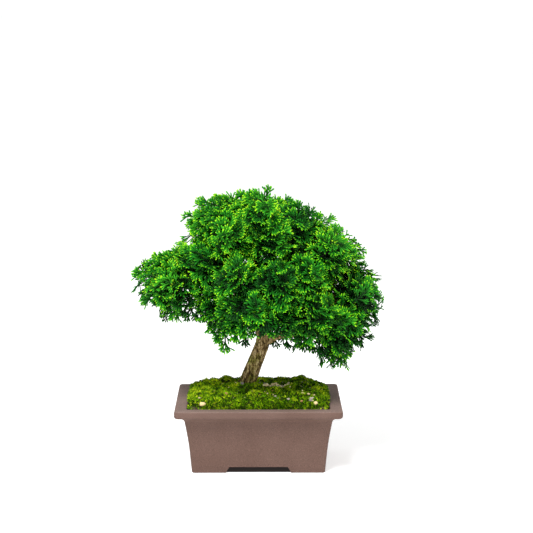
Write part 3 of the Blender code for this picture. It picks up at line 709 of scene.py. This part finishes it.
wood = {
    "trunk": (
        ((-24, 4, 74), 14.0), ((-19, 5, 88), 11.6), ((-13, 5, 101), 9.3), ((-5, 5, 122), 8.7),
        ((4, 5, 145), 8.2), ((5, 5, 160), 7.2), ((-3, 5, 190), 6.0), ((-6, 4, 222), 5.0),
        ((-1, 4, 256), 3.8), ((0, 4, 276), 2.6),
    ),
    "branches": (
        ((3, 5, 146), (24, 2, 158), (50, -4, 161), (84, -6, 168), (108, -4, 182), 4.8, 2.0),
        ((-2, 5, 188), (-28, 0, 198), (-62, -4, 214), (-104, -2, 224), 4.4, 1.8),
        ((-5, 4, 212), (24, 8, 222), (58, 8, 226), (88, 0, 206), 4.0, 1.8),
        ((2, 4, 170), (-6, -22, 182), (-14, -44, 198), 3.4, 1.8),
        ((4, 5, 158), (20, -16, 176), (38, -36, 196), 3.2, 1.8),
        ((-6, 4, 226), (10, -28, 232), (30, -62, 238), 3.4, 1.8),
        ((-3, 6, 196), (-26, 34, 204), (-44, 66, 220), 3.6, 1.8),
        ((-5, 5, 230), (14, 26, 226), (42, 38, 218), 3.4, 1.8),
        ((-2, 4, 250), (-24, -8, 266), (-48, -6, 286), 3.0, 1.6),
        ((-1, 4, 262), (26, 4, 272), (58, 6, 278), 3.0, 1.6),
        ((-4, 5, 238), (-8, 38, 256), (-8, 62, 272), 3.0, 1.6),
    ),
    "roots": 6, "rootReach": 44 * mm, "rootDrop": 30 * mm, "rootRadii": (6.0, 4.2, 2.8, 1.4),
    "twigRadii": (1.7 * mm, 1.4 * mm, 1.1 * mm), "twigBend": 0.4, "stouter": 1.07, "flare": 0.5,
    # How each kind of limb is finished: steps between its points, sides and depth of bark
    "trunkLook": (9, 56, 1.1 * mm), "branchLook": (6, 20, 0.6 * mm), "rootLook": (5, 20, 0.8 * mm),
    "twigLook": (5, 9, 0.3 * mm),
    # Bark: how fine it is round the limb, how fine along it, and its share of the depth
    "strand": (4.2, 26, 0.55), "fibre": (11, 60, 0.45), "knot": (1.3, 38, 0.8),
}


def finerLimb(points, radii, steps):
    finer = throughPoints(points, steps)
    spread = []
    for k in range(len(finer)):
        low = min(k // steps, len(radii) - 1)
        spread.append(between(radii[low], radii[min(low + 1, len(radii) - 1)], (k % steps) / steps))
    return finer, spread


def trunkLimb():
    points, radii = zip(*wood["trunk"])
    return finerLimb([Vector(p) * mm for p in points], [r * mm for r in radii], 2)


def branchLimbs():
    limbs = []
    for *route, thick, thin in wood["branches"]:
        radii = [between(thick, thin, k / (len(route) - 1)) * mm for k in range(len(route))]
        limbs.append(finerLimb([Vector(p) * mm for p in route], radii, 2))
    return limbs


def rootLimbs():
    draw = random.Random(11)
    foot = Vector(wood["trunk"][0][0]) * mm
    limbs = []
    for root in range(wood["roots"]):
        angle = tau * (root + 0.5 * draw.random()) / wood["roots"]
        out = Vector((cos(angle), 0.8 * sin(angle), 0))
        reach = wood["rootReach"] * draw.uniform(0.8, 1.1)
        points = [
            foot + up * 4 * mm + out * 3 * mm,
            foot + out * reach * 0.45 - up * 1 * mm,
            foot + out * reach * 0.8 - up * wood["rootDrop"] * 0.5,
            foot + out * reach - up * wood["rootDrop"],
        ]
        limbs.append((points, [r * mm for r in wood["rootRadii"]]))
    return limbs


def barkRelief(out, travelled, seed):
    # How far the bark stands out, as a share of its depth
    height = 0
    for kind, shift in (("strand", (seed, 0)), ("fibre", (0, seed)), ("knot", (seed, seed))):
        around, along, share = wood[kind]
        height += share * noise.noise(out * around + Vector((*shift, travelled * along)))
    return height


def tube(bm, points, radii, sides, bark=0.0, seed=0.0):
    # A closed round limb along the points, with the relief of bark on it
    side = Vector((0.3, 1, 0.1))
    rings = []
    travelled = 0.0
    for index, point in enumerate(points):
        ahead = points[min(index + 1, len(points) - 1)]
        behind = points[max(index - 1, 0)]
        along = (ahead - behind).normalized()
        side = (side - along * side.dot(along)).normalized()
        other = along.cross(side)
        turn = Matrix((side, other, along)).transposed().to_4x4()
        travelled += (point - behind).length
        ring = bmesh.ops.create_circle(
            bm, segments=sides, radius=radii[index], matrix=Matrix.Translation(point) @ turn
        )["verts"]
        if bark:
            for vert in ring:
                out = (vert.co - point).normalized()
                vert.co += out * bark * barkRelief(out, travelled, seed)
        rings.append(list({edge for vert in ring for edge in vert.link_edges}))
    for first, second in zip(rings, rings[1:]):
        bmesh.ops.bridge_loops(bm, edges=first + second)
    for edges in (rings[0], rings[-1]):
        bmesh.ops.contextual_create(bm, geom=edges)


# Crown: where each spray sits, by the same rule as the solids

crown = {
    "pads": (
        ((-10, 0, 287), (72, 64, 42)), ((69, 0, 267), (46, 52, 36)), ((104, -3, 213), (41, 54, 46)),
        ((-96, -2, 228), (42, 52, 32)), ((-58, -4, 256), (38, 46, 30)), ((4, -2, 234), (84, 86, 46)),
        ((-18, -52, 206), (44, 42, 30)), ((44, -46, 204), (46, 42, 30)), ((90, -12, 180), (42, 42, 24)),
        ((96, -8, 157), (20, 24, 14)), ((-38, 46, 230), (50, 47, 34)), ((44, 48, 230), (52, 46, 36)),
    ),
    "spacing": 43 * mm, "underside": -0.6, "clearOfPads": 1.15, "surfaceSteps": 170,
    "lift": 0.2, "stemDepth": 48 * mm, "stemTop": 26 * mm, "stemTopShare": 0.7, "stemSteps": 11,
    "stemClear": 3.5 * mm, "stemInset": 3 * mm, "stemRadii": (1.5 * mm, 1.3 * mm, 0.9 * mm),
    "cellGap": 0.8 * mm, "cellOverlap": 7 * mm,
}


def padDepth(point, pad):
    centre, half = pad
    return sqrt(sum(((point[k] / mm - centre[k]) / half[k]) ** 2 for k in range(3)))


def crownSurface():
    found = []
    for pad in crown["pads"]:
        centre, half = pad
        for step in range(crown["surfaceSteps"]):
            z = 1 - 2 * (step + 0.5) / crown["surfaceSteps"]
            roundZ = sqrt(1 - z * z)
            unit = (roundZ * cos(step * golden), roundZ * sin(step * golden), z)
            point = Vector([(centre[k] + half[k] * unit[k]) * mm for k in range(3)])
            normal = Vector([unit[k] / half[k] for k in range(3)]).normalized()
            others = [padDepth(point, other) for other in crown["pads"] if other is not pad]
            if min(others) > crown["clearOfPads"] and normal.z > crown["underside"]:
                found.append((point, normal))
    return found


def spraySites():
    surface = crownSurface()
    sites = [max(surface, key=lambda site: site[0].z)]
    apart = [(point - sites[0][0]).length for point, normal in surface]
    while max(apart) > crown["spacing"]:
        chosen = surface[apart.index(max(apart))]
        sites.append(chosen)
        apart = [min(d, (point - chosen[0]).length) for d, (point, normal) in zip(apart, surface)]
    return [(point, (normal + up * crown["lift"]).normalized()) for point, normal in sites]


def cellWalls(index, sites):
    here = sites[index][0]
    walls = []
    for other, site in enumerate(sites):
        if other != index:
            away = site[0] - here
            outward = away.normalized()
            walls.append((here + away / 2 - outward * crown["cellGap"], outward))
    return walls


def drawnBack(point, root, walls):
    reach = 1.0
    for foot, outward in walls:
        room = (foot - root).dot(outward)
        stride = (point - root).dot(outward)
        if stride > room:
            reach = min(reach, room / stride)
    return root + (point - root) * max(reach, 0)


def nearWood(point, limbs, clear):
    for points, radii in limbs:
        for start, end, radius in zip(points, points[1:], radii):
            run = end - start
            share = min(1, max(0, (point - start).dot(run) / run.length_squared))
            if (point - start - run * share).length < radius + clear:
                return True
    return False


def stemLine(site, walls, limbs):
    point, outward = site
    inset = [(foot - away * crown["stemInset"], away) for foot, away in walls]
    deepest = drawnBack(point - outward * crown["stemDepth"], point, inset)
    top = point - outward * min(crown["stemTop"], crown["stemTopShare"] * (deepest - point).length)
    base = top
    for step in range(1, crown["stemSteps"] + 1):
        deeper = top.lerp(deepest, step / crown["stemSteps"])
        if step > 2 and nearWood(deeper, limbs, crown["stemClear"]):
            break
        base = deeper
    return base, top


def twigPoints(base, outward, limbs):
    starts = [
        first.lerp(second, share)
        for points, radii in limbs
        for first, second in zip(points, points[1:])
        for share in (0, 0.5)
    ]
    start = min(starts, key=lambda point: (point - base).length)
    bend = base - outward * wood["twigBend"] * (base - start).length
    return [start, bend, base]


def addLimb(bm, limb, kind, seed, grow=lambda step: 1):
    steps, sides, bark = wood[kind]
    points, radii = finerLimb(*limb, steps)
    tube(bm, points, [r * grow(k) for k, r in enumerate(radii)], sides, bark, seed)


def makeWood(limbs, stems):
    bm = bmesh.new()
    trunk, *branches = limbs
    addLimb(bm, trunk, "trunkLook", 3, lambda step: wood["stouter"])
    for index, limb in enumerate(branches):
        addLimb(bm, limb, "branchLook", 10 + index, lambda step: 1 + wood["flare"] * exp(-step / 4))
    for index, limb in enumerate(rootLimbs()):
        addLimb(bm, limb, "rootLook", 30 + index)
    for index, (base, top) in enumerate(stems):
        outward = (top - base).normalized()
        addLimb(bm, (twigPoints(base, outward, limbs), wood["twigRadii"]), "twigLook", 50 + index)
    bmesh.ops.recalc_face_normals(bm, faces=bm.faces)
    piece = newObject("trunkAndBranches", bm)
    dressed(piece, barkFinish(), "bark", "trunk_and_branches")


# Fan: a flat spread of blunt fingers of scale leaves

fan = {
    "kinds": 10, "length": 28 * mm, "petiole": 6 * mm, "stalk": 0.7, "stalkWidth": 0.8 * mm,
    "tilt": 0.2, "cup": (-0.2, 0.16), "cupAlong": 0.8,
    # How young a shoot is at its foot, and at its end inside the fan and, at the least, at the rim; the
    # dark feet of old growth are partly painted shade
    "shootYouth": (0.15, 0.7, 0.9), "fingerYouth": (0.25, 0.6, 0.8), "stalkYouth": (0, 0.25),
    "youngFrom": 0.5, "youngOver": 0.35,
    # A finger: half its width and thickness, then its foot, its shoulder and the shoulder's place as shares
    "fingerWidth": 0.92 * mm, "fingerThick": 0.55 * mm, "foot": 0.6, "shoulder": 1.08, "shoulderAt": 0.87,
    # Side shoots, from the lowest to the highest: place, angle and length
    "sidePairs": 3, "sideAt": (0.08, 0.58), "sideAngle": (54, 22), "sideLength": (0.56, 0.44),
    "sideSpread": (0.68, 1.2), "sideSway": (-8, 8), "stagger": 0.03, "end": 0.5,
    # Pairs of fingers on a shoot
    "pairAt": (0.3, 0.66), "onePairAt": 0.42, "pairAngle": (24, 36), "pairLength": 0.9,
    "pairLonger": 2 * mm, "pairSpread": (0.75, 1.2), "pairThick": (0.85, 1.1), "pairStagger": 0.05,
}


def fingerTemplate():
    # A finger one unit long, wide and thick: a four-sided stem with a blunt point
    bm = bmesh.new()
    shoulder = fan["shoulderAt"]
    bmesh.ops.create_cone(
        bm, cap_ends=True, segments=4, radius1=fan["foot"], radius2=fan["shoulder"], depth=shoulder,
        matrix=Matrix.Translation((0, 0, shoulder / 2)),
    )
    lid = max(bm.faces, key=lambda face: face.calc_center_median().z)
    bmesh.ops.poke(bm, faces=[lid])["verts"][0].co = up
    heights = [vert.co.z for vert in bm.verts]
    return {"mesh": meshFrom("finger", bm), "heights": heights}


oneFinger = fingerTemplate()


def finger(bm, tips, start, heading, length, width, first, last):
    # One flattened, blunt shoot, with how young it is at its foot and at its end
    aside = Vector((heading.y, -heading.x, 0)).normalized()
    face = heading.cross(aside).normalized() * fan["fingerThick"]
    shape = Matrix((aside * width, face, heading * length)).transposed().to_4x4()
    shape.translation = start
    stamp(bm, oneFinger["mesh"], shape)
    tips += [between(first, last, height) for height in oneFinger["heights"]]


def turned(heading, degrees, draw):
    # The heading swung in the fan's plane, and a little out of it
    along = Matrix.Rotation(radians(degrees), 3, "Z") @ heading
    along.z += draw.uniform(-fan["tilt"], fan["tilt"])
    return along.normalized()


def youth(draw, end, kind):
    # How young a shoot is at its foot and at its end: at the fan's rim all ends are young
    foot, inside, least = fan[kind]
    rim = min(1, max(0, (end.length / fan["length"] - fan["youngFrom"]) / fan["youngOver"]))
    return foot, between(inside, draw.uniform(least, 1), rim)


def shoot(bm, tips, draw, start, heading, length, pairs):
    # A shoot with pairs of fingers along it
    width = fan["fingerWidth"]
    finger(bm, tips, start, heading, length, width, *youth(draw, start + heading * length, "shootYouth"))
    for k in range(pairs):
        share = between(*fan["pairAt"], k / (pairs - 1)) if pairs > 1 else fan["onePairAt"]
        for hand in (-1, 1):
            along = turned(heading, hand * draw.uniform(*fan["pairAngle"]), draw)
            size = length * (1 - share) * fan["pairLength"] + fan["pairLonger"]
            size *= draw.uniform(*fan["pairSpread"])
            foot = start + heading * length * (share + fan["pairStagger"] * hand)
            thick = width * draw.uniform(*fan["pairThick"])
            finger(bm, tips, foot, along, size, thick, *youth(draw, foot + along * size, "fingerYouth"))


def fanTemplate(draw):
    bm = bmesh.new()
    tips = []
    length = fan["length"]
    ahead = Vector((0, 1, 0))
    stalk = length * fan["stalk"] + fan["petiole"]
    finger(bm, tips, ahead * -fan["petiole"], ahead, stalk, fan["stalkWidth"], *fan["stalkYouth"])
    for k in range(fan["sidePairs"]):
        rank = k / (fan["sidePairs"] - 1)
        share = between(*fan["sideAt"], rank)
        for hand in (-1, 1):
            sway = draw.uniform(*fan["sideSway"])
            along = turned(ahead, hand * between(*fan["sideAngle"], rank) + sway, draw)
            size = length * between(*fan["sideLength"], rank) * draw.uniform(*fan["sideSpread"])
            shoot(bm, tips, draw, ahead * length * (share + fan["stagger"] * hand), along, size, 1)
    shoot(bm, tips, draw, ahead * length * fan["end"], ahead, length * (1 - fan["end"]), 2)
    bend = draw.uniform(*fan["cup"])
    for vert in bm.verts:
        x, y, z = vert.co
        vert.co.z = z + bend * (x * x + fan["cupAlong"] * max(0, y) ** 2) / length
    return {"mesh": meshFrom("fan", bm), "tips": tips}


# Spray: many fans round a stem, in an inner and an outer layer

spray = {
    "each": 54, "inner": 16, "innerReach": 0.66, "reach": 43 * mm, "reachSpread": (0.76, 1.1),
    "leanHigh": 86, "rootAt": (1.0, 0.35), "clear": 1 * mm, "least": 0.5, "twigWidth": 0.7 * mm,
    "twigLeast": 3 * mm,
    # Which way a fan looks and which way it grows
    "outFace": 0.5, "upFace": 0.6, "frontFace": 0.7, "waver": 0.3, "roll": (-35, 35),
    "rise": 0.45, "flow": 0.55, "drift": 0.55, "aim": 0.7, "sideways": 0.7,
    # Tone: its middle, a sway for each spray, painted light lifting fans that point up and darkening those
    # that point down, a random spread, darker inner fans as older growth and painted shade, and the twigs'
    # tone
    "tone": 0.42, "mood": 0.2, "paintedLightUp": 0.2, "toneSpread": 0.4, "innerDarker": 0.5, "twigTone": 0.2,
    # Sprigs that hang below: x, y, z of the foot and of the tip in millimetres
    "hanging": (
        (20, 10, 166, 22, 6, 143), (34, 8, 168, 36, 4, 141), (50, 6, 168, 54, 2, 142),
        (-76, -20, 210, -90, -22, 184), (-72, -16, 208, -78, -20, 181), (-64, -16, 208, -65, -24, 180),
        (-60, -14, 210, -54, -20, 184), (42, -6, 188, 48, -12, 162), (50, -6, 168, 61, -8, 141),
        (60, -6, 166, 71, -8, 138), (56, 4, 180, 56, 2, 157), (76, -6, 174, 87, -4, 147),
        (88, -8, 168, 98, -12, 143), (70, 2, 176, 82, 4, 152), (34, 2, 186, 40, 2, 164),
    ),
    # Sprigs that stand out in the light
    "jutting": (
        (-41, -50, 180, -39, -52, 149), (-43, -50, 186, -49, -50, 158), (-46, -40, 196, -58, -46, 174),
        (-68, -30, 220, -84, -34, 203), (-64, -34, 218, -72, -42, 196), (-58, -34, 216, -58, -44, 194),
        (-64, -32, 232, -74, -42, 212), (-66, -10, 304, -91, -12, 313), (8, -6, 318, 12, -8, 345),
        (0, -6, 318, -4, -10, 342), (-34, -6, 312, -42, -8, 334), (66, -6, 290, 74, -8, 312),
        (94, -8, 160, 112, -10, 134), (90, -8, 150, 104, -10, 122), (-104, -6, 246, -128, -8, 254),
        (-128, -6, 232, -154, -8, 239),
    ),
    # Hanging sprigs get a dark tone as painted shade, and jutting ones a lighter tone as painted light
    "sprigTones": {"hanging": 0.1, "jutting": 0.6}, "sprigFace": Vector((0, -1, 0.3)),
    # Trimmed places, at any depth: x, z and radius in millimetres
    "trimmed": (
        (8, 344, 14), (130, 296, 22), (-142, 184, 15), (-78, 158, 22), (161, 194, 14), (127, 128, 14),
        (-125, 280, 16), (-142, 266, 10), (-94, 324, 9), (-90, 292, 7), (-160, 222, 9), (142, 252, 8),
    ),
    # On the front half only: where the branch shows, and hollows that keep their inner fans
    "open": (18, 160, 13),
    "hollows": ((-20, 222, 13), (-4, 218, 9), (-90, 212, 8), (56, 178, 9), (26, 232, 7)),
}


def trimmedAway(tip, inner):
    seen = Vector((tip.x, tip.z)) / mm
    places = list(spray["trimmed"])
    if tip.y < 0:
        places.append(spray["open"])
        places += () if inner else spray["hollows"]
    return any((seen - Vector((x, z))).length < radius for x, z, radius in places)


def addFan(bm, tones, tips, template, foot, tip, face, roll, tone):
    # One fan from foot to tip, turned so that its face looks along face
    along = (tip - foot).normalized()
    face = (face - along * face.dot(along)).normalized()
    across = Matrix.Rotation(radians(roll), 3, along) @ along.cross(face).normalized()
    turnTo = Matrix((across, along, across.cross(along))).transposed().to_4x4()
    place = Matrix.Translation(foot) @ turnTo @ Matrix.Scale((tip - foot).length / fan["length"], 4)
    plant(bm, template, place, tones, min(1, max(0, tone)), tips)


def addTwig(bm, tones, tips, start, end):
    run = end - start
    if run.length > spray["twigLeast"]:
        finger(bm, tips, start, run.normalized(), run.length, spray["twigWidth"], 0, 0)
        tones += [spray["twigTone"]] * (len(tips) - len(tones))


def makeSpray(index, ends, walls, templates, finish, limbs, sprigs):
    base, top = ends
    draw = random.Random(400 + index)
    outward = (top - base).normalized()
    side = outward.cross(Vector((0.2, 1, 0.3))).normalized()
    other = outward.cross(side)
    bm = bmesh.new()
    tube(bm, [base, base.lerp(top, 0.5), top], crown["stemRadii"], 6)
    bmesh.ops.recalc_face_normals(bm, faces=bm.faces)
    tones = [0.0] * len(bm.verts)
    tips = [0.0] * len(bm.verts)
    wide = [(foot + away * crown["cellOverlap"], away) for foot, away in walls]
    start = draw.random() * tau
    mood = draw.uniform(-1, 1) * spray["mood"]
    flow = Vector((base.x, base.y, 0)).normalized() + up * spray["rise"]
    steep = max(0, outward.z)
    front = Vector((0, -1, 0)) * spray["frontFace"] * steep
    facing = outward * spray["outFace"] + up * spray["upFace"] * (1 - steep) + front
    outer = spray["each"] - spray["inner"]
    for k in range(spray["each"]):
        inner = k < spray["inner"]
        share = (k + 0.5) / spray["inner"] if inner else (k - spray["inner"] + 0.5) / outer
        lean = acos(between(1, cos(radians(spray["leanHigh"])), share))
        turn = start + k * golden
        away = side * cos(turn) + other * sin(turn)
        aim = outward * cos(lean) + away * sin(lean)
        root = base.lerp(top, between(*spray["rootAt"], share))
        reach = spray["reach"] * draw.uniform(*spray["reachSpread"])
        tip = drawnBack(root + aim * reach * (spray["innerReach"] if inner else 1), root, wide)
        drift = Vector([draw.uniform(-1, 1) for axis in range(3)])
        want = (facing + drift * spray["waver"]).normalized()
        sideways = away * sin(lean) + flow * spray["flow"] + drift * spray["drift"]
        sideways = (sideways - want * sideways.dot(want)).normalized()
        along = (aim * spray["aim"] + sideways * spray["sideways"]).normalized()
        foot = drawnBack(tip - along * fan["length"], root, wide)
        roll = draw.uniform(*spray["roll"])
        # Painted light and shade: fans pointing up are lighter and those pointing down darker; inner fans
        # are darker, partly as painted shade
        tone = spray["tone"] + mood + spray["paintedLightUp"] * (along.z + outward.z)
        tone += draw.uniform(-1, 1) * spray["toneSpread"] - inner * spray["innerDarker"]
        template = draw.choice(templates)
        small = (tip - foot).length < spray["least"] * fan["length"]
        if small or nearWood(foot.lerp(tip, 0.5), limbs, spray["clear"]) or trimmedAway(tip, inner):
            continue
        addTwig(bm, tones, tips, root, foot)
        addFan(bm, tones, tips, template, foot, tip, want, roll, tone)
    for foot, tip, tone in sprigs:
        addTwig(bm, tones, tips, base, foot)
        addFan(bm, tones, tips, draw.choice(templates), foot, tip, spray["sprigFace"], 0, tone)
    piece = newObject(f"sprayLeaves{index + 1:02d}", bm, tone=tones, tip=tips)
    dressed(piece, finish, "leaf", f"spray_{index + 1:02d}")


def makeCrown():
    sites = spraySites()
    limbs = [trunkLimb(), *branchLimbs()]
    walls = [cellWalls(index, sites) for index in range(len(sites))]
    stems = [stemLine(site, around, limbs) for site, around in zip(sites, walls)]
    makeWood(limbs, stems)
    print("wood made")
    draw = random.Random(77)
    templates = [fanTemplate(draw) for kind in range(fan["kinds"])]
    finish = leafFinish()
    sprigs = [[] for stem in stems]
    for kind, tone in spray["sprigTones"].items():
        for place in spray[kind]:
            foot = Vector(place[:3]) * mm
            nearest = min(range(len(stems)), key=lambda index: (stems[index][0] - foot).length)
            sprigs[nearest].append((foot, Vector(place[3:]) * mm, tone))
    for index, ends in enumerate(stems):
        makeSpray(index, ends, walls[index], templates, finish, limbs, sprigs[index])
    print("crown made of", len(stems), "sprays")


def dressSolid(node, finish):
    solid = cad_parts[node]
    solid.data.materials.clear()
    solid.data.materials.append(finish)


addCamera()
addFloor()
addSky()
addLight("key", studio["key"])
addLight("fill", studio["fill"])
bpy.context.scene.view_settings.view_transform = "Standard"
print("studio set")

makePot()
print("pot made")
mossGrowth = BVHTree.FromObject(makeMossMat(), bpy.context.evaluated_depsgraph_get())
makeMossShoots(mossGrowth)
makeGrit(mossGrowth)
print("moss made")
makeCrown()
dressSolid("soil", earthFinish())
net = netFinish()
dressSolid("drain_screen_left", net)
dressSolid("drain_screen_right", net)
